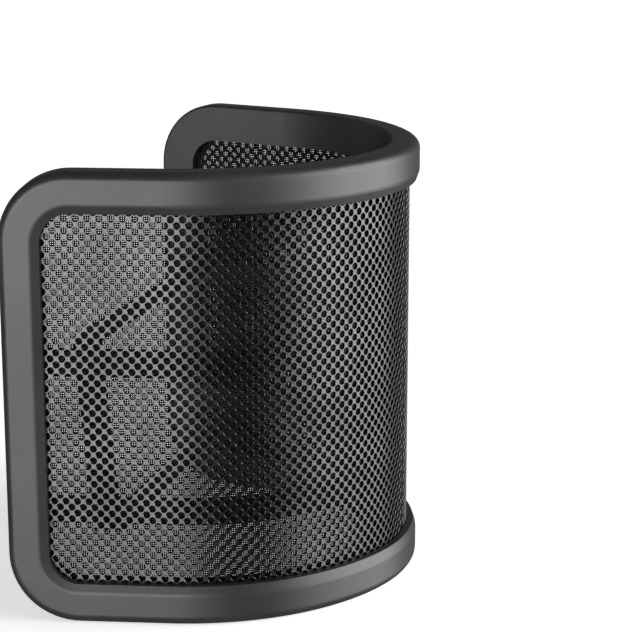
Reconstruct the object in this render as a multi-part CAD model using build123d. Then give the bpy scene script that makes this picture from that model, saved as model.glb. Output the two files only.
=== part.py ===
from build123d import *
import math
import os

# Wrap-around pop filter for a studio microphone. Millimetres, +Z up.
# Origin: centre of the footprint, on the surface the lower rim stands on.
# The U opens towards +Y; its convex nose faces the speaker at -Y.

# ---- driving dimensions -------------------------------------------------
HEIGHT = 105.0
NOSE_RADIUS = 47.0          # outer plan radius at the nose
NOSE_HALF_ANGLE = 20.0      # degrees of nose arc on each side of the middle
SHOULDER_RADIUS = 56.0      # outer plan radius between nose and arms
ARM_FLARE = 11.4            # degrees the straight arms open outwards
ARM_LENGTH = 37.0

CORNER_RADIUS = 16.2        # side-view corners of the arm ends
EDGE_ROUND = 2.2            # rounding of the frame's outer edges
INNER_EDGE_ROUND = 0.7      # rounding of the frame's inner edges
BEVEL_ROUND = 2.5           # rounding between the flat face and the bevel
RAIL_WIDTH = 7.4            # flat face of the frame around the window
BEVEL_WIDTH = 2.0           # shallow bevel between that face and the window's wall
BEVEL_DROP = 0.7            # how deep the bevel falls over its width
WINDOW_RADIUS = 7.0         # corner radius of the opening at the grille

# Layers, as depths inwards from the outer face.
LIP_DEPTH = 2.3
GRILLE_DEPTHS = (2.35, 3.05)
SPACER_DEPTHS = (3.1, 4.3)
MESH_DEPTHS = (4.35, 4.65)
PLATE_FRONT = 4.7
PARTING_DEPTH = 5.4
FRAME_DEPTH = 6.8
BAR_DEPTHS = (7.4, 8.8)     # crossbars that the elastic band passes behind

WALL = 2.0                  # perimeter wall of the outer frame
NEST_GAP = 0.15             # gap between nested pieces
LAYER_OVERLAP = 2.6         # how far the sheets reach under the frame

BAR_HEIGHT = 6.2
UPPER_BAR_Z = 60.0
LOWER_BAR_Z = 25.0
BAR_END_INSET = 4.5         # bar end to arm end
BAR_POST_LENGTH = 4.5       # post that joins the bar to the rear upright

BAND_WIDTH = 6.2
BAND_THICKNESS = 1.0
BAND_TOP_Z = 66.4
BAND_BOTTOM_Z = 20.3
BAND_CORNER_RADIUS = 2.0
BAND_Y = 20.8               # middle of the band's width
BAND_DEPTH = 5.55           # band's outer side, between the mesh and the crossbars
CLASP_X = 24.0              # sleeve that joins the band's ends
CLASP_LENGTH = 9.0
CLASP_WALL = 0.6
CLASP_GAP = 0.02

SCREW_EDGE = 4.4            # screw axis to the frame's outline
SCREW_RADIUS = 0.9
SCREW_HEAD_RADIUS = 1.75
SCREW_HEAD_HEIGHT = 1.0
SCREW_TIP_DEPTH = 2.6       # depth of the screw's tip below the outer face
SCREW_RECESS = 0.15         # head below the inner face
BOSS_RADIUS = 1.9
DRIVE_RADIUS = 0.55         # hexagon recess in the screw head
DRIVE_DEPTH = 0.6
UPRIGHT_SCREW_Z = (33.0, 72.0)
BOTTOM_SCREW_ANGLES = (-52.0, 0.0, 52.0)

# ---- plan outline -------------------------------------------------------
NOSE_ANGLE = math.radians(NOSE_HALF_ANGLE)
ARM_ANGLE = math.radians(90.0 - ARM_FLARE)


def on_circle(centre, radius, angle):
    """Plan point at an angle measured from the nose direction."""
    return Vector(centre.X + radius * math.sin(angle), centre.Y - radius * math.cos(angle))


ARM_DIRECTION = Vector(math.cos(ARM_ANGLE), math.sin(ARM_ANGLE))
INWARD = Vector(-math.sin(ARM_ANGLE), math.cos(ARM_ANGLE))

centre_step = SHOULDER_RADIUS - NOSE_RADIUS
total_depth = (
    NOSE_RADIUS
    + centre_step * math.cos(NOSE_ANGLE)
    - SHOULDER_RADIUS * math.cos(ARM_ANGLE)
    + ARM_LENGTH * ARM_DIRECTION.Y
    + FRAME_DEPTH * INWARD.Y
)
NOSE_Y = -total_depth / 2
NOSE_CENTRE = Vector(0, NOSE_Y + NOSE_RADIUS)
SHOULDER_CENTRE = NOSE_CENTRE + Vector(
    -centre_step * math.sin(NOSE_ANGLE),
    centre_step * math.cos(NOSE_ANGLE),
)


def mirrored(point):
    return Vector(-point.X, point.Y)


def half_plan(depth, arm):
    """Points of the right half at a depth: nose, arcs, and the arm's end."""
    nose = NOSE_RADIUS - depth
    shoulder = SHOULDER_RADIUS - depth
    middle_angle = (NOSE_ANGLE + ARM_ANGLE) / 2
    arm_start = on_circle(SHOULDER_CENTRE, shoulder, ARM_ANGLE)
    return {
        "nose": on_circle(NOSE_CENTRE, nose, 0),
        "nose_end": on_circle(NOSE_CENTRE, nose, NOSE_ANGLE),
        "shoulder_mid": on_circle(SHOULDER_CENTRE, shoulder, middle_angle),
        "arm_start": arm_start,
        "arm_end": arm_start + ARM_DIRECTION * arm,
    }


def plan_edges(depth, arm):
    """Edges of the U at one depth, from the left arm's end to the right's."""
    right = half_plan(depth, arm)
    left = {name: mirrored(point) for name, point in right.items()}
    return [
        Line(left["arm_end"], left["arm_start"]),
        ThreePointArc(left["arm_start"], left["shoulder_mid"], left["nose_end"]),
        ThreePointArc(left["nose_end"], right["nose"], right["nose_end"]),
        ThreePointArc(right["nose_end"], right["shoulder_mid"], right["arm_start"]),
        Line(right["arm_start"], right["arm_end"]),
    ]


def arm_end_plane(end_inset):
    """Plane of the right arm's outer face: X along the arm, Z inwards."""
    origin = half_plan(0, ARM_LENGTH - end_inset)["arm_end"]
    return Plane(origin=origin, x_dir=ARM_DIRECTION, z_dir=INWARD)


def corner_bits(radius, end_inset, low, high, depths):
    """Right arm's waste outside its rounded upper and lower end corners."""
    plane = arm_end_plane(end_inset)
    spare = 1.0
    length = depths[1] - depths[0] + 2 * spare
    side = -1 if plane.y_dir.Z < 0 else 1
    bits = []
    for edge, into in ((low, 1), (high, -1)):
        square = Pos(-radius / 2 + spare / 2, 0) * Rectangle(radius + spare, radius + spare)
        square = Pos(0, side * (edge + into * (radius - spare) / 2)) * square
        circle = Pos(-radius, side * (edge + into * radius)) * Circle(radius)
        profile = plane.offset(depths[0] - spare) * (square - circle)
        bits.append(extrude(profile, amount=length))
    return bits


def u_slab(depths, low, high, end_inset=0.0, corner_radius=0.0):
    """U-shaped slab between two depths and two heights, arm ends rounded."""
    arm = ARM_LENGTH - end_inset
    outer = plan_edges(depths[0], arm)
    inner = plan_edges(depths[1], arm)
    caps = [
        Line(outer[0] @ 0, inner[0] @ 0),
        Line(outer[-1] @ 1, inner[-1] @ 1),
    ]
    face = make_face(outer + inner + caps)
    slab = extrude(Pos(0, 0, low) * face, amount=high - low, dir=(0, 0, 1))
    if corner_radius > 0:
        bits = corner_bits(corner_radius, end_inset, low, high, depths)
        slab = slab - bits
        slab = slab - [mirror(bit, Plane.YZ) for bit in bits]
    return slab


def inset_slab(depths, inset, corner_radius):
    """Slab whose outline lies an even distance inside the frame's outline."""
    return u_slab(depths, inset, HEIGHT - inset, inset, corner_radius)


# ---- fasteners ----------------------------------------------------------
def screw_frames():
    """Planes on the inner face at each screw, Z pointing into the frame."""
    frames = []
    along = ARM_LENGTH - SCREW_EDGE
    for height in UPRIGHT_SCREW_Z:
        point = half_plan(FRAME_DEPTH, along)["arm_end"]
        for side in (1, -1):
            origin = (side * point.X, point.Y, height)
            outwards = (-side * INWARD.X, -INWARD.Y, 0)
            frames.append(Plane(origin=origin, z_dir=outwards))
    for degrees in BOTTOM_SCREW_ANGLES:
        angle = math.radians(abs(degrees))
        side = -1 if degrees < 0 else 1
        if angle < NOSE_ANGLE:
            point = on_circle(NOSE_CENTRE, NOSE_RADIUS - FRAME_DEPTH, angle)
        else:
            point = on_circle(SHOULDER_CENTRE, SHOULDER_RADIUS - FRAME_DEPTH, angle)
        origin = (side * point.X, point.Y, SCREW_EDGE)
        outwards = (side * math.sin(angle), -math.cos(angle), 0)
        frames.append(Plane(origin=origin, z_dir=outwards))
    return frames


def rod(plane, radius, start, end):
    """Round bar along a plane's normal between two distances."""
    return extrude(plane.offset(start) * Circle(radius), amount=end - start)


def countersink(plane, radius, neck, start, depth):
    """Cone that narrows from radius to neck over a depth."""
    top = plane.offset(start) * Circle(radius)
    bottom = plane.offset(start + depth) * Circle(neck)
    return loft([top, bottom])


def screw(plane):
    """Countersunk self-tapping screw with a hexagon recess."""
    tip = FRAME_DEPTH - SCREW_TIP_DEPTH
    neck = SCREW_RECESS + SCREW_HEAD_HEIGHT
    head = countersink(plane, SCREW_HEAD_RADIUS, SCREW_RADIUS, SCREW_RECESS, SCREW_HEAD_HEIGHT)
    shank = rod(plane, SCREW_RADIUS, neck, tip)
    recess = extrude(plane.offset(SCREW_RECESS) * RegularPolygon(DRIVE_RADIUS, 6), amount=DRIVE_DEPTH)
    return head + shank - recess


# ---- pieces -------------------------------------------------------------
SCREW_FRAMES = screw_frames()
WINDOW_INSET = RAIL_WIDTH + BEVEL_WIDTH
LAYER_INSET = WINDOW_INSET - LAYER_OVERLAP
LAYER_RADIUS = WINDOW_RADIUS + LAYER_OVERLAP


def depth_at(point):
    """Depth of a plan point inwards from the outer face."""
    right = Vector(abs(point.X), point.Y)
    nose_arm = right - NOSE_CENTRE
    if math.atan2(nose_arm.X, -nose_arm.Y) < NOSE_ANGLE:
        return NOSE_RADIUS - nose_arm.length
    shoulder_arm = right - SHOULDER_CENTRE
    if math.atan2(shoulder_arm.X, -shoulder_arm.Y) < ARM_ANGLE:
        return SHOULDER_RADIUS - shoulder_arm.length
    return (right - half_plan(0, 0)["arm_end"]).dot(INWARD)


def along_arm(point):
    """Distance of a plan point along the arm, negative ahead of its start."""
    right = Vector(abs(point.X), point.Y)
    return (right - half_plan(0, 0)["arm_end"]).dot(ARM_DIRECTION)


def rim_edges(solid, depth, inset):
    """Edges at one depth whose loop lies an even distance inside the outline."""
    near = 0.02
    found = []
    for edge in solid.edges():
        points = [edge @ 0, edge @ 0.5, edge @ 1]
        flat = [Vector(p.X, p.Y) for p in points]
        if any(abs(depth_at(p) - depth) > near for p in flat):
            continue
        level = all(min(abs(p.Z - inset), abs(p.Z - HEIGHT + inset)) < near for p in points)
        at_end = max(along_arm(p) for p in flat) > ARM_LENGTH - inset - CORNER_RADIUS + near
        upright = abs(along_arm(flat[0]) - along_arm(flat[2])) < near
        off_end = upright and along_arm(flat[1]) < ARM_LENGTH - inset - near
        beyond = max(along_arm(p) for p in flat) > ARM_LENGTH - inset + near
        outside = any(p.Z < inset - near or p.Z > HEIGHT - inset + near for p in points)
        if beyond or outside:
            continue
        if level or (at_end and not off_end):
            found.append(edge)
    return found


def bevel_window(body):
    """Shallow bevel round the window; one edge leads the whole smooth loop."""
    edge = rim_edges(body, 0, WINDOW_INSET)[0]
    beside = [face for face in body.faces() if any(e.is_same(edge) for e in face.edges())]
    front = max(beside, key=lambda face: face.area)
    return chamfer(edge, BEVEL_DROP, length2=BEVEL_WIDTH, reference=front)


def make_outer_frame():
    """Front moulding: face, bevelled window, perimeter wall and screw bosses."""
    body = u_slab((0, PARTING_DEPTH), 0, HEIGHT, 0, CORNER_RADIUS)
    body = fillet(rim_edges(body, 0, 0), EDGE_ROUND)
    pocket = inset_slab((LIP_DEPTH, PARTING_DEPTH + 1), WALL, CORNER_RADIUS - WALL)
    window = inset_slab((-1, LIP_DEPTH + 1), WINDOW_INSET, WINDOW_RADIUS)
    body = body - pocket - window
    body = bevel_window(body)
    body = fillet(rim_edges(body, 0, RAIL_WIDTH), BEVEL_ROUND)
    for plane in SCREW_FRAMES:
        boss = rod(plane, BOSS_RADIUS, FRAME_DEPTH - PLATE_FRONT + NEST_GAP, FRAME_DEPTH - LIP_DEPTH)
        pilot = rod(plane, SCREW_RADIUS, 0, FRAME_DEPTH - SCREW_TIP_DEPTH)
        body = body + boss - pilot
    return body


def bar(height):
    """Crossbar inside both arms and the nose, with its posts at the arm ends."""
    low = height - BAR_HEIGHT / 2
    high = height + BAR_HEIGHT / 2
    rail = u_slab(BAR_DEPTHS, low, high, BAR_END_INSET, 0)
    post = u_slab((FRAME_DEPTH - 0.5, BAR_DEPTHS[1]), low, high, BAR_END_INSET, 0)
    ahead = u_slab((0, BAR_DEPTHS[1] + 2), low - 1, high + 1, BAR_END_INSET + BAR_POST_LENGTH, 0)
    return rail + (post - ahead)


def make_inner_frame():
    """Rear moulding: plate, nesting step, smooth window and two crossbars."""
    plate = u_slab((PARTING_DEPTH + 0.02, FRAME_DEPTH), 0, HEIGHT, 0, CORNER_RADIUS)
    plate = fillet(rim_edges(plate, FRAME_DEPTH, 0), INNER_EDGE_ROUND)
    step = inset_slab((PLATE_FRONT, PARTING_DEPTH + 0.5), WALL + NEST_GAP, CORNER_RADIUS - WALL - NEST_GAP)
    window = inset_slab((PLATE_FRONT - 1, FRAME_DEPTH + 1), WINDOW_INSET, WINDOW_RADIUS)
    body = plate + step - window
    for height in (UPPER_BAR_Z, LOWER_BAR_Z):
        body = body + bar(height)
    for plane in SCREW_FRAMES:
        clearance = rod(plane, SCREW_RADIUS + NEST_GAP, -1, FRAME_DEPTH - PLATE_FRONT + 1)
        seat = countersink(plane, SCREW_HEAD_RADIUS, SCREW_RADIUS, SCREW_RECESS, SCREW_HEAD_HEIGHT)
        mouth = rod(plane, SCREW_HEAD_RADIUS, -1, SCREW_RECESS)
        body = body - clearance - seat - mouth
    return body


def make_spacer():
    """Ring that holds the two sheets apart under the frame."""
    ring = inset_slab(SPACER_DEPTHS, LAYER_INSET, LAYER_RADIUS)
    window = inset_slab((SPACER_DEPTHS[0] - 1, SPACER_DEPTHS[1] + 1), WINDOW_INSET, WINDOW_RADIUS)
    return ring - window


def band_half_width(y):
    """Half the band's outer length across the U at one station of its width."""
    arm = half_plan(BAND_DEPTH, 0)["arm_end"]
    return arm.X + (y - arm.Y) * ARM_DIRECTION.X / ARM_DIRECTION.Y


def band_section(y, inset):
    """Rounded rectangle of the band's loop at one station of its width."""
    half_height = (BAND_TOP_Z - BAND_BOTTOM_Z) / 2
    centre = (0, y, (BAND_TOP_Z + BAND_BOTTOM_Z) / 2)
    plane = Plane(origin=centre, x_dir=(1, 0, 0), z_dir=(0, -1, 0))
    return plane * RectangleRounded(
        2 * (band_half_width(y) - inset),
        2 * (half_height - inset),
        BAND_CORNER_RADIUS - inset,
    )


def make_band():
    """Flat elastic loop over the upper crossbars and under the lower ones."""
    front = BAND_Y - BAND_WIDTH / 2
    back = BAND_Y + BAND_WIDTH / 2
    outer = loft([band_section(front, 0), band_section(back, 0)], ruled=True)
    inner = loft([band_section(front, BAND_THICKNESS), band_section(back, BAND_THICKNESS)], ruled=True)
    return outer - inner


def make_clasp():
    """Folded sleeve that joins the two ends of the band on its lower strand."""
    height = BAND_THICKNESS + 2 * (CLASP_WALL + CLASP_GAP)
    width = BAND_WIDTH + 2 * (CLASP_WALL + CLASP_GAP)
    shell = Box(CLASP_LENGTH, width, height)
    shell = fillet(shell.edges().filter_by(Axis.X), CLASP_WALL)
    slot = Box(CLASP_LENGTH + 1, BAND_WIDTH + 2 * CLASP_GAP, BAND_THICKNESS + 2 * CLASP_GAP)
    return Pos(CLASP_X, BAND_Y, BAND_BOTTOM_Z + BAND_THICKNESS / 2) * (shell - slot)


def main():
    os.makedirs("parts", exist_ok=True)
    nodes = {
        "outer_frame": make_outer_frame(),
        "outer_grille": inset_slab(GRILLE_DEPTHS, LAYER_INSET, LAYER_RADIUS),
        "layer_spacer": make_spacer(),
        "inner_mesh": inset_slab(MESH_DEPTHS, LAYER_INSET, LAYER_RADIUS),
        "inner_frame": make_inner_frame(),
        "frame_screws": Compound([screw(plane) for plane in SCREW_FRAMES]),
        "elastic_band": make_band(),
        "band_clasp": make_clasp(),
    }
    for name, shape in nodes.items():
        export_step(shape, f"parts/{name}.step")


main()
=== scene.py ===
import bpy
import math
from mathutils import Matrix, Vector


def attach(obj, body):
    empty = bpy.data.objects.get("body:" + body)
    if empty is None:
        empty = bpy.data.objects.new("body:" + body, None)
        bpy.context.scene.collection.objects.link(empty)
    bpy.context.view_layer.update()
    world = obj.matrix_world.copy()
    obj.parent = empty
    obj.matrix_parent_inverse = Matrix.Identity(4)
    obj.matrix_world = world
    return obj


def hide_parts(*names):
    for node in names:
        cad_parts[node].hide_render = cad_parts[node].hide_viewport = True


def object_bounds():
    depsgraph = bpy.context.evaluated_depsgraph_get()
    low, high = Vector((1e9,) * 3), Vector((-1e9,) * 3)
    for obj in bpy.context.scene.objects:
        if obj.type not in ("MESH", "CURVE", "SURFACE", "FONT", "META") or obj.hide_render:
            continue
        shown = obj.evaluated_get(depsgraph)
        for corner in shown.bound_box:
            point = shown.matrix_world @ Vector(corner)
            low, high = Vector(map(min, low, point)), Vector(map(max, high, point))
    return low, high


# Looks of a wrap-around microphone pop filter. Metres, the part's own frame:
# +Z up, the U opens towards +Y, its convex nose faces -Y.

MM = 0.001

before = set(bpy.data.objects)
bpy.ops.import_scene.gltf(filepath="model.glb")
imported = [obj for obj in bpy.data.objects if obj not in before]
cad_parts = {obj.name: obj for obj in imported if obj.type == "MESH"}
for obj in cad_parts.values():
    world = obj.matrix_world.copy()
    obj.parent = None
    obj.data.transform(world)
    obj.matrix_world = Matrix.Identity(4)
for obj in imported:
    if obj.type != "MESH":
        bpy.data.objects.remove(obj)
cad_low, cad_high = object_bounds()

# ---- plan of the U, the same driving sizes as the CAD --------------------
HEIGHT = cad_high.z - cad_low.z
NOSE_RADIUS = 47.0 * MM
NOSE_ANGLE = math.radians(20.0)
SHOULDER_RADIUS = 56.0 * MM
ARM_ANGLE = math.radians(90.0 - 11.4)
ARM_LENGTH = 37.0 * MM
FRAME_DEPTH = 6.8 * MM
WINDOW_INSET = 9.4 * MM
WINDOW_RADIUS = 7.0 * MM

CENTRE_STEP = SHOULDER_RADIUS - NOSE_RADIUS
FOOTPRINT_DEPTH = (
    NOSE_RADIUS
    + CENTRE_STEP * math.cos(NOSE_ANGLE)
    - SHOULDER_RADIUS * math.cos(ARM_ANGLE)
    + ARM_LENGTH * math.sin(ARM_ANGLE)
    + FRAME_DEPTH * math.cos(ARM_ANGLE)
)
NOSE_CENTRE = (0.0, NOSE_RADIUS - FOOTPRINT_DEPTH / 2)
SHOULDER_CENTRE = (
    -CENTRE_STEP * math.sin(NOSE_ANGLE),
    NOSE_CENTRE[1] + CENTRE_STEP * math.cos(NOSE_ANGLE),
)


def half_length(depth):
    """Length of half the U at a depth, from the nose to the arm's end."""
    nose = (NOSE_RADIUS - depth) * NOSE_ANGLE
    shoulder = (SHOULDER_RADIUS - depth) * (ARM_ANGLE - NOSE_ANGLE)
    return nose + shoulder + ARM_LENGTH


def plan_point(along, reference, depth):
    """Point at a depth, opposite a distance along the U at a reference depth."""
    side = -1 if along < 0 else 1
    rest = abs(along)
    nose = (NOSE_RADIUS - reference) * NOSE_ANGLE
    shoulder = (SHOULDER_RADIUS - reference) * (ARM_ANGLE - NOSE_ANGLE)
    if rest < nose:
        angle = rest / (NOSE_RADIUS - reference)
        centre, radius, straight = NOSE_CENTRE, NOSE_RADIUS - depth, 0.0
    elif rest < nose + shoulder:
        angle = NOSE_ANGLE + (rest - nose) / (SHOULDER_RADIUS - reference)
        centre, radius, straight = SHOULDER_CENTRE, SHOULDER_RADIUS - depth, 0.0
    else:
        angle = ARM_ANGLE
        centre, radius = SHOULDER_CENTRE, SHOULDER_RADIUS - depth
        straight = rest - nose - shoulder
    x = centre[0] + radius * math.sin(angle) + straight * math.cos(angle)
    y = centre[1] - radius * math.cos(angle) + straight * math.sin(angle)
    return side * x, y


# ---- small mesh helpers --------------------------------------------------
def new_piece(name, vertices, faces, material, body):
    """Mesh object that rides on a body and takes its finish from a slot."""
    mesh = bpy.data.meshes.new(name)
    mesh.from_pydata(vertices, [], faces)
    mesh.validate()
    mesh.materials.append(material)
    piece = bpy.data.objects.new(name, mesh)
    bpy.context.scene.collection.objects.link(piece)
    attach(piece, body)
    return piece


def smooth(piece, degrees):
    """Smooth shading, with edges sharper than an angle kept crisp."""
    piece.data.polygons.foreach_set("use_smooth", [True] * len(piece.data.polygons))
    piece.data.set_sharp_from_angle(angle=math.radians(degrees))


# ---- materials -----------------------------------------------------------
RAMP_START = 0.35           # noise below this takes the ramp's first colour
RAMP_END = 0.65             # noise above this takes its last colour
PLASTIC_MOTTLE = 60         # noise scales, per metre
PLASTIC_PATCHES = 25
PLASTIC_GRAIN = 4500
PLASTIC_GRAIN_DEPTH = 0.00003
PLASTIC_GRAIN_STRENGTH = 0.25
PLASTIC_GLOSS_SWING = 0.04
PLASTIC_IOR = 1.5
METAL_MOTTLE = 90
METAL_GRAIN = 1800
METAL_GRAIN_STRETCH = (1, 1, 0.2)
METAL_GRAIN_DEPTH = 0.00001
METAL_GRAIN_STRENGTH = 0.2
METAL_GLOSS_SWING = 0.06
STITCH_SCALE = 2200
STITCH_STRETCH = (1, 0.35, 1)
STITCH_DARK = (0.008, 0.008, 0.009)
STITCH_LIGHT = (0.03, 0.03, 0.032)
STITCH_DEPTH = 0.0001
STITCH_STRENGTH = 0.6
ELASTIC_ROUGHNESS = (0.7, 0.95)
ELASTIC_SHEEN = 0.3


def new_material(name):
    material = bpy.data.materials.new(name)
    material.use_nodes = True
    nodes = material.node_tree.nodes
    return material, nodes, material.node_tree.links, nodes["Principled BSDF"]


def noise(nodes, links, scale, detail, stretch=None):
    """Noise texture in object coordinates, optionally stretched."""
    coordinates = nodes.new("ShaderNodeTexCoord")
    texture = nodes.new("ShaderNodeTexNoise")
    texture.inputs["Scale"].default_value = scale
    texture.inputs["Detail"].default_value = detail
    source = coordinates.outputs["Object"]
    if stretch:
        mapping = nodes.new("ShaderNodeMapping")
        mapping.inputs["Scale"].default_value = stretch
        links.new(source, mapping.inputs["Vector"])
        source = mapping.outputs["Vector"]
    links.new(source, texture.inputs["Vector"])
    return texture


def ramp(nodes, links, source, low, high):
    """Colour ramp between two colours."""
    node = nodes.new("ShaderNodeValToRGB")
    first, last = node.color_ramp.elements
    first.position, last.position = RAMP_START, RAMP_END
    first.color = (*low, 1)
    last.color = (*high, 1)
    links.new(source, node.inputs["Fac"])
    return node


def spread(nodes, links, source, low, high):
    """Maps a 0 to 1 value onto a range."""
    node = nodes.new("ShaderNodeMapRange")
    node.inputs["To Min"].default_value = low
    node.inputs["To Max"].default_value = high
    links.new(source, node.inputs["Value"])
    return node.outputs["Result"]


def bump(nodes, links, height, shader, distance, strength):
    node = nodes.new("ShaderNodeBump")
    node.inputs["Distance"].default_value = distance
    node.inputs["Strength"].default_value = strength
    links.new(height, node.inputs["Height"])
    links.new(node.outputs["Normal"], shader.inputs["Normal"])


def moulded_plastic(name, dark, light, roughness):
    """Satin ABS: very fine grain, faint mottling, slightly uneven gloss."""
    material, nodes, links, shader = new_material(name)
    mottle = noise(nodes, links, PLASTIC_MOTTLE, 3)
    colour = ramp(nodes, links, mottle.outputs["Fac"], dark, light)
    links.new(colour.outputs["Color"], shader.inputs["Base Color"])
    patches = noise(nodes, links, PLASTIC_PATCHES, 2)
    low, high = roughness - PLASTIC_GLOSS_SWING, roughness + PLASTIC_GLOSS_SWING
    gloss = spread(nodes, links, patches.outputs["Fac"], low, high)
    links.new(gloss, shader.inputs["Roughness"])
    grain = noise(nodes, links, PLASTIC_GRAIN, 2)
    height = grain.outputs["Fac"]
    bump(nodes, links, height, shader, PLASTIC_GRAIN_DEPTH, PLASTIC_GRAIN_STRENGTH)
    shader.inputs["IOR"].default_value = PLASTIC_IOR
    return material


def metal(name, dark, light, roughness, metallic=1.0):
    """Satin metal with a fine grain, drawn out along Z."""
    material, nodes, links, shader = new_material(name)
    shader.inputs["Metallic"].default_value = metallic
    mottle = noise(nodes, links, METAL_MOTTLE, 3)
    colour = ramp(nodes, links, mottle.outputs["Fac"], dark, light)
    links.new(colour.outputs["Color"], shader.inputs["Base Color"])
    grain = noise(nodes, links, METAL_GRAIN, 2, stretch=METAL_GRAIN_STRETCH)
    height = grain.outputs["Fac"]
    gloss = spread(nodes, links, height, roughness - METAL_GLOSS_SWING, roughness + METAL_GLOSS_SWING)
    links.new(gloss, shader.inputs["Roughness"])
    bump(nodes, links, height, shader, METAL_GRAIN_DEPTH, METAL_GRAIN_STRENGTH)
    return material


def woven_elastic(name):
    """Dark elastic: a fine rough noise, drawn out along Y, the band's width."""
    material, nodes, links, shader = new_material(name)
    stitches = noise(nodes, links, STITCH_SCALE, 1, stretch=STITCH_STRETCH).outputs["Fac"]
    colour = ramp(nodes, links, stitches, STITCH_DARK, STITCH_LIGHT)
    links.new(colour.outputs["Color"], shader.inputs["Base Color"])
    fuzz = spread(nodes, links, stitches, *ELASTIC_ROUGHNESS)
    links.new(fuzz, shader.inputs["Roughness"])
    shader.inputs["Sheen Weight"].default_value = ELASTIC_SHEEN
    bump(nodes, links, stitches, shader, STITCH_DEPTH, STITCH_STRENGTH)
    return material


plastic = moulded_plastic("frame_plastic", (0.018, 0.018, 0.019), (0.026, 0.026, 0.028), 0.40)
inner_plastic = moulded_plastic("inner_plastic", (0.017, 0.017, 0.018), (0.024, 0.024, 0.026), 0.42)
steel = metal("grille_steel", (0.056, 0.056, 0.058), (0.074, 0.074, 0.076), 0.28)
wire = metal("mesh_wire", (0.010, 0.010, 0.011), (0.020, 0.020, 0.021), 0.45, metallic=0.3)
black_steel = metal("screw_steel", (0.02, 0.02, 0.022), (0.05, 0.05, 0.052), 0.38, metallic=0.6)
black_clasp = metal("clasp_metal", (0.03, 0.03, 0.032), (0.06, 0.06, 0.064), 0.4, metallic=0.6)
spacer_plastic = moulded_plastic("spacer_plastic", (0.008, 0.008, 0.008), (0.013, 0.013, 0.013), 0.6)
elastic = woven_elastic("elastic")

for node, material in (
    ("outer_frame", plastic),
    ("inner_frame", inner_plastic),
    ("layer_spacer", spacer_plastic),
    ("frame_screws", black_steel),
    ("band_clasp", black_clasp),
):
    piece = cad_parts[node]
    piece.data.materials.clear()
    piece.data.materials.append(material)

# ---- perforated grille ---------------------------------------------------
PITCH_ALONG = 2.635 * MM    # between neighbours in one level row
PITCH_UP = 2.79 * MM        # between neighbours in one upright column
HOLE_RADIUS = 0.77 * MM
RIM = 0.10 * MM             # rounded edge of each hole on the front
HOLE_SIDES = 16
GRILLE_FRONT = 2.35 * MM
GRILLE_BACK = 3.05 * MM
SHEET_INSET = 6.8 * MM      # sheet's edge to the frame's outline
SHEET_RADIUS = 9.6 * MM
PERFORATED_MARGIN = 1.3 * MM
GRILLE_CREASE = 30          # degrees


def in_rounded_window(along, z, length, inset, radius):
    """Whether a point of the flat sheet lies inside a rounded rectangle."""
    dx = abs(along) - (length - inset - radius)
    dz = abs(z - HEIGHT / 2) - (HEIGHT / 2 - inset - radius)
    if dx <= 0 or dz <= 0:
        return max(dx, dz) <= radius
    return math.hypot(dx, dz) <= radius


def grille_sheet(columns, length):
    """Curved sheet of diamond tiles, each with one punched hole."""
    reference = (GRILLE_FRONT + GRILLE_BACK) / 2
    across, up = PITCH_ALONG / 2, PITCH_UP / 2
    first, last = columns
    rows = 2 * int((HEIGHT - 2 * SHEET_INSET) / 2 / up)
    base = HEIGHT / 2 - rows / 2 * up
    hole_inset = WINDOW_INSET - PERFORATED_MARGIN
    hole_corner = WINDOW_RADIUS + PERFORATED_MARGIN
    vertices, faces, corner_index = [], [], {}

    def add(along, z, depths):
        """Vertices of one sheet point at each of the given depths."""
        for depth in depths:
            x, y = plan_point(along, reference, depth)
            vertices.append((x, y, z))
        return len(vertices) - len(depths)

    def corner(i, j):
        if (i, j) not in corner_index:
            corner_index[i, j] = add(i * across, base + j * up, (GRILLE_FRONT, GRILLE_BACK))
        return corner_index[i, j]

    def both_sides(loop):
        faces.append(loop)
        faces.append([v + 1 for v in reversed(loop)])

    def punched_tile(along, z, corners):
        """Diamond with a hole: front rim, wall, and the four quarters round it."""
        wide, narrow, quarter = [], [], HOLE_SIDES // 4
        for k in range(HOLE_SIDES):
            angle = 2 * math.pi * k / HOLE_SIDES
            u, v = math.cos(angle), math.sin(angle)
            outer, inner = HOLE_RADIUS + RIM, HOLE_RADIUS
            wide.append(add(along + outer * u, z + outer * v, (GRILLE_FRONT,)))
            narrow.append(add(along + inner * u, z + inner * v, (GRILLE_FRONT + RIM, GRILLE_BACK)))
        for q in range(4):
            picks = [(q * quarter + k) % HOLE_SIDES for k in range(quarter, -1, -1)]
            a, b = corners[q], corners[(q + 1) % 4]
            faces.append([a, b] + [wide[k] for k in picks])
            faces.append([b + 1, a + 1] + [narrow[k] + 1 for k in reversed(picks)])
        for k in range(HOLE_SIDES):
            n = (k + 1) % HOLE_SIDES
            faces.append([wide[k], wide[n], narrow[n], narrow[k]])
            faces.append([narrow[k], narrow[n], narrow[n] + 1, narrow[k] + 1])

    for i in range(first, last + 1):
        for j in range(rows + 1):
            along, z = i * across, base + j * up
            if (i + j) % 2 or not in_rounded_window(along, z, length, SHEET_INSET, SHEET_RADIUS):
                continue
            ring = [(i + 1, j), (i, j + 1), (i - 1, j), (i, j - 1)]
            inside = [c for c in ring if first <= c[0] <= last and 0 <= c[1] <= rows]
            corners = [corner(*c) for c in inside]
            holed = in_rounded_window(along, z, length, hole_inset, hole_corner)
            if len(inside) == 4 and holed:
                punched_tile(along, z, corners)
            elif len(inside) >= 3:
                both_sides(corners)
    return vertices, faces, set(corner_index.values())


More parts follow.
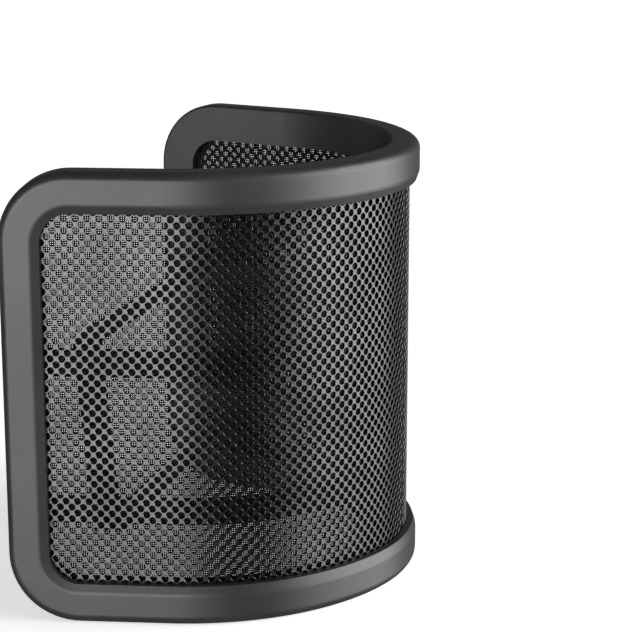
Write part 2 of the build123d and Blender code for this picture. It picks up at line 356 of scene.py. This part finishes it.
def close_border(faces, fronts):
    """Walls between front and back along every open edge of the sheet."""
    edges = {(a, b) for face in faces for a, b in zip(face, face[1:] + face[:1])}
    walls = []
    for a, b in sorted(edges):
        if a in fronts and b in fronts and (b, a) not in edges:
            walls.append([b, a, a + 1, b + 1])
    return walls


def make_grille():
    reference = (GRILLE_FRONT + GRILLE_BACK) / 2
    length = half_length(reference)
    reach = 2 * int((length - SHEET_INSET) / PITCH_ALONG)
    for name, columns in (("grille_left", (-reach, 0)), ("grille_right", (0, reach))):
        vertices, faces, fronts = grille_sheet(columns, length)
        faces += close_border(faces, fronts)
        piece = new_piece(name, vertices, faces, steel, "frame")
        smooth(piece, GRILLE_CREASE)
        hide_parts("outer_grille")


make_grille()

# ---- fine inner mesh -----------------------------------------------------
WIRE_PITCH = 0.47 * MM
WIRE_RADIUS = 0.15 * MM
WIRE_DEPTHS = (4.45 * MM, 4.56 * MM)     # level wires, upright wires
MESH_STEP = 2.4 * MM                      # longest straight piece of a level wire
WIRE_CREASE = 100                         # degrees


def tube(path, sides_a, sides_b, radius, vertices, faces):
    """Square wire along a path, given two cross directions at each point."""
    start = len(vertices)
    for point, a, b in zip(path, sides_a, sides_b):
        for u, v in ((1, 0), (0, 1), (-1, 0), (0, -1)):
            vertices.append(tuple(point + (a * u + b * v) * radius))
    last = len(path) - 1
    for i in range(last):
        for k in range(4):
            n = (k + 1) % 4
            low, high = start + 4 * i, start + 4 * (i + 1)
            faces.append([low + k, low + n, high + n, high + k])
    faces.append([start + 3, start + 2, start + 1, start])
    end = start + 4 * last
    faces.append([end, end + 1, end + 2, end + 3])


def make_inner_mesh():
    vertices, faces = [], []
    reference = WIRE_DEPTHS[0]
    half = half_length(reference) - SHEET_INSET
    up = Vector((0, 0, 1))

    def outward(along):
        inner = Vector((*plan_point(along, reference, reference + MM), 0))
        outer = Vector((*plan_point(along, reference, reference), 0))
        return (outer - inner).normalized()

    pieces = 2 * math.ceil(half / MESH_STEP)
    stations = [-half + 2 * half * k / pieces for k in range(pieces + 1)]
    normals = [outward(s) for s in stations]
    flat = [plan_point(s, reference, WIRE_DEPTHS[0]) for s in stations]
    rows = int((HEIGHT - 2 * SHEET_INSET) / WIRE_PITCH)
    for j in range(rows + 1):
        z = HEIGHT / 2 + (j - rows / 2) * WIRE_PITCH
        path = [Vector((x, y, z)) for x, y in flat]
        tube(path, normals, [up] * len(path), WIRE_RADIUS, vertices, faces)
    columns = int(2 * half / WIRE_PITCH)
    for i in range(columns + 1):
        s = (i - columns / 2) * WIRE_PITCH
        x, y = plan_point(s, reference, WIRE_DEPTHS[1])
        out = outward(s)
        across = out.cross(up)
        path = [Vector((x, y, SHEET_INSET)), Vector((x, y, HEIGHT - SHEET_INSET))]
        tube(path, [out, out], [across, across], WIRE_RADIUS, vertices, faces)
    piece = new_piece("inner_mesh_wires", vertices, faces, wire, "frame")
    smooth(piece, WIRE_CREASE)
    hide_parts("inner_mesh")


make_inner_mesh()


# ---- elastic band --------------------------------------------------------
BAND_WIDTH = 6.2 * MM
BAND_THICKNESS = 1.0 * MM
BAND_TOP = 66.4 * MM
BAND_BOTTOM = 20.3 * MM
BAND_CORNER = 2.0 * MM
BAND_Y = 20.8 * MM
BAND_LEAN = 2.0 * MM        # the upper strand lies this far back, the lower as far forward
BAND_BOW = 0.5 * MM         # how far each long strand bows towards the other
BOW_REACH = 40.0 * MM       # the bow fades out this far from the middle
BAND_OUTER_DEPTH = 5.55 * MM
RIBS = 8                    # knitted ribs across the width
RIB_STEPS = 4               # points across each rib
RIB_HEIGHT = 0.12 * MM      # half the depth of the groove between two ribs
BAND_STEP = 0.8 * MM        # length of band covered by two steps
BAND_CORNER_STEPS = 8
BAND_CREASE = 60            # degrees


def band_loop(y):
    """Outer line of the loop across the U: (x, z, outward x, outward z)."""
    arm_x, arm_y = plan_point(half_length(BAND_OUTER_DEPTH), BAND_OUTER_DEPTH, BAND_OUTER_DEPTH)
    half = arm_x + (y - arm_y) / math.tan(ARM_ANGLE)
    tall = (BAND_TOP - BAND_BOTTOM) / 2
    flat_x, flat_z = half - BAND_CORNER, tall - BAND_CORNER
    across = round(2 * flat_x / BAND_STEP) * 2
    upright = round(2 * flat_z / BAND_STEP) * 2
    line = []
    for side in range(4):
        count = across if side % 2 else upright
        start = math.pi / 2 * side
        out = (math.cos(start), math.sin(start))
        run = flat_x if side % 2 else flat_z
        wide = flat_z if side % 2 else flat_x
        for k in range(count):
            along = run * (2 * k / count - 1)
            x = out[0] * (wide + BAND_CORNER) - out[1] * along
            z = out[1] * (wide + BAND_CORNER) + out[0] * along
            line.append((x, z, out[0], out[1]))
        corner_x = math.copysign(flat_x, out[0] - out[1])
        corner_z = math.copysign(flat_z, out[0] + out[1])
        for k in range(BAND_CORNER_STEPS):
            angle = start + math.pi / 2 * k / BAND_CORNER_STEPS
            u, v = math.cos(angle), math.sin(angle)
            line.append((corner_x + BAND_CORNER * u, corner_z + BAND_CORNER * v, u, v))
    return line


def make_band():
    """Ribbed elastic loop that leans back; its long strands bow together."""
    middle = (BAND_TOP + BAND_BOTTOM) / 2
    steps = RIB_STEPS * RIBS
    section = []
    for k in range(steps + 1):
        groove = RIB_HEIGHT * (1 - math.cos(2 * math.pi * RIBS * k / steps))
        section.append((-0.5 + k / steps, groove))
    for k in range(steps, -1, -1):
        section.append((-0.5 + k / steps, BAND_THICKNESS))
    vertices, faces = [], []
    lines = [band_loop(BAND_Y + across * BAND_WIDTH) for across, _ in section]
    count = len(lines[0])
    for i in range(count):
        for (across, depth), line in zip(section, lines):
            x, z, u, v = line[i]
            lean = BAND_LEAN * z / (BAND_TOP - middle)
            bow = BAND_BOW * math.cos(math.pi / 2 * min(1, abs(x) / BOW_REACH)) ** 2
            vertices.append((
                x - u * depth,
                BAND_Y + across * BAND_WIDTH + lean,
                middle + z - v * depth - math.copysign(bow, z),
            ))
    size = len(section)
    for i in range(count):
        here, there = i * size, (i + 1) % count * size
        for k in range(size):
            n = (k + 1) % size
            faces.append([here + k, there + k, there + n, here + n])
    piece = new_piece("elastic_band_knit", vertices, faces, elastic, "band")
    smooth(piece, BAND_CREASE)
    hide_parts("elastic_band")


make_band()


# ---- stage and light -----------------------------------------------------
FLOOR_HALF = 3.0
FLOOR_GLOW = 0.6            # lifts the pale floor to the white of the backdrop
FLOOR_DARK = (0.90, 0.90, 0.90)
FLOOR_LIGHT = (0.92, 0.92, 0.92)
FLOOR_MOTTLE = 3
FLOOR_ROUGHNESS = 0.6


def stage_material():
    material, nodes, links, shader = new_material("floor_white")
    tone = noise(nodes, links, FLOOR_MOTTLE, 2)
    colour = ramp(nodes, links, tone.outputs["Fac"], FLOOR_DARK, FLOOR_LIGHT)
    links.new(colour.outputs["Color"], shader.inputs["Base Color"])
    shader.inputs["Roughness"].default_value = FLOOR_ROUGHNESS
    shader.inputs["Emission Color"].default_value = (1, 1, 1, 1)
    shader.inputs["Emission Strength"].default_value = FLOOR_GLOW
    return material


def make_stage():
    half = FLOOR_HALF
    corners = [(-half, -half, 0), (half, -half, 0), (half, half, 0), (-half, half, 0)]
    mesh = bpy.data.meshes.new("floor")
    mesh.from_pydata(corners, [], [(0, 1, 2, 3)])
    mesh.materials.append(stage_material())
    floor = bpy.data.objects.new("floor", mesh)
    bpy.context.scene.collection.objects.link(floor)
    floor.visible_glossy = False


def facing(azimuth):
    """Level direction at an azimuth: 0 is -Y, positive towards +X."""
    a = math.radians(azimuth)
    return math.sin(a), -math.cos(a)


# azimuth, full half-width, faded half-width, glow, elevations between which the top fades
PANELS = (
    (-100.0, 18.0, 30.0, 6.7, 6.0, 20.0),
    (12.0, 6.0, 46.0, 6.4, 25.0, 50.0),
)
PANEL_FOOT = -8.0           # both panels are whole above this elevation
PANEL_END = -36.0           # and gone below this one
AMBIENT = 0.11
LEVEL_LEAST = 0.001         # keeps the division finite straight up and down


def make_world():
    """Dim studio with two tall soft panels; the camera sees plain white."""
    world = bpy.data.worlds.new("studio")
    world.use_nodes = True
    nodes, links = world.node_tree.nodes, world.node_tree.links
    background = nodes["Background"]
    direction = nodes.new("ShaderNodeTexCoord").outputs["Generated"]
    split = nodes.new("ShaderNodeSeparateXYZ")
    links.new(direction, split.inputs["Vector"])

    def maths(operation, a, b=None):
        node = nodes.new("ShaderNodeMath")
        node.operation = operation
        for socket, value in zip(node.inputs, (a, b)):
            if isinstance(value, (int, float)):
                socket.default_value = value
            elif value is not None:
                links.new(value, socket)
        return node.outputs[0]

    def soft_step(value, low, high, start, end):
        node = nodes.new("ShaderNodeMapRange")
        node.interpolation_type = "SMOOTHSTEP"
        links.new(value, node.inputs["Value"])
        for name, number in (("From Min", low), ("From Max", high), ("To Min", start), ("To Max", end)):
            node.inputs[name].default_value = number
        return node.outputs["Result"]

    up = split.outputs["Z"]
    level = maths("SQRT", maths("SUBTRACT", 1.0, maths("MULTIPLY", up, up)))
    level = maths("MAXIMUM", level, LEVEL_LEAST)
    foot, end = math.sin(math.radians(PANEL_FOOT)), math.sin(math.radians(PANEL_END))
    total = None
    for azimuth, inner, outer, glow, fade_low, fade_high in PANELS:
        x, y = facing(azimuth)
        along_x = maths("MULTIPLY", split.outputs["X"], x)
        along_y = maths("MULTIPLY", split.outputs["Y"], y)
        cosine = maths("DIVIDE", maths("ADD", along_x, along_y), level)
        faded, full = math.cos(math.radians(outer)), math.cos(math.radians(inner))
        across = soft_step(cosine, faded, full, 0.0, glow)
        top_low, top_high = math.sin(math.radians(fade_low)), math.sin(math.radians(fade_high))
        height = soft_step(up, top_low, top_high, 1.0, 0.0)
        below = soft_step(up, end, foot, 0.0, 1.0)
        panel = maths("MULTIPLY", maths("MULTIPLY", across, height), below)
        total = panel if total is None else maths("ADD", total, panel)
    light = maths("ADD", total, AMBIENT)
    camera_ray = nodes.new("ShaderNodeLightPath").outputs["Is Camera Ray"]
    mixed = maths("ADD", maths("MULTIPLY", light, maths("SUBTRACT", 1.0, camera_ray)), camera_ray)
    background.inputs["Color"].default_value = (1, 1, 1, 1)
    links.new(mixed, background.inputs["Strength"])
    bpy.context.scene.world = world


CAMERA_X = -0.46613
CAMERA_AHEAD = 0.10696      # in front of the nose
CAMERA_HEIGHT = 0.18287
CAMERA_AZIMUTH = -74.25
CAMERA_ELEVATION = 14.0
SENSOR_WIDTH = 36.0
LENS = 117.25
CLIP_NEAR, CLIP_FAR = 0.01, 20


def make_camera():
    """A little above the filter, looking at its left arm and nose."""
    data = bpy.data.cameras.new("camera")
    camera = bpy.data.objects.new("camera", data)
    bpy.context.scene.collection.objects.link(camera)
    azimuth, elevation = math.radians(CAMERA_AZIMUTH), math.radians(CAMERA_ELEVATION)
    back = Vector((
        math.sin(azimuth) * math.cos(elevation),
        -math.cos(azimuth) * math.cos(elevation),
        math.sin(elevation),
    ))
    camera.location = (CAMERA_X, -FOOTPRINT_DEPTH / 2 - CAMERA_AHEAD, CAMERA_HEIGHT)
    camera.rotation_mode = "QUATERNION"
    camera.rotation_quaternion = (-back).to_track_quat("-Z", "Y")
    data.sensor_width = SENSOR_WIDTH
    data.lens = LENS
    data.clip_start, data.clip_end = CLIP_NEAR, CLIP_FAR
    bpy.context.scene.camera = camera


make_stage()
make_world()
make_camera()
bpy.context.scene.view_settings.view_transform = "Standard"
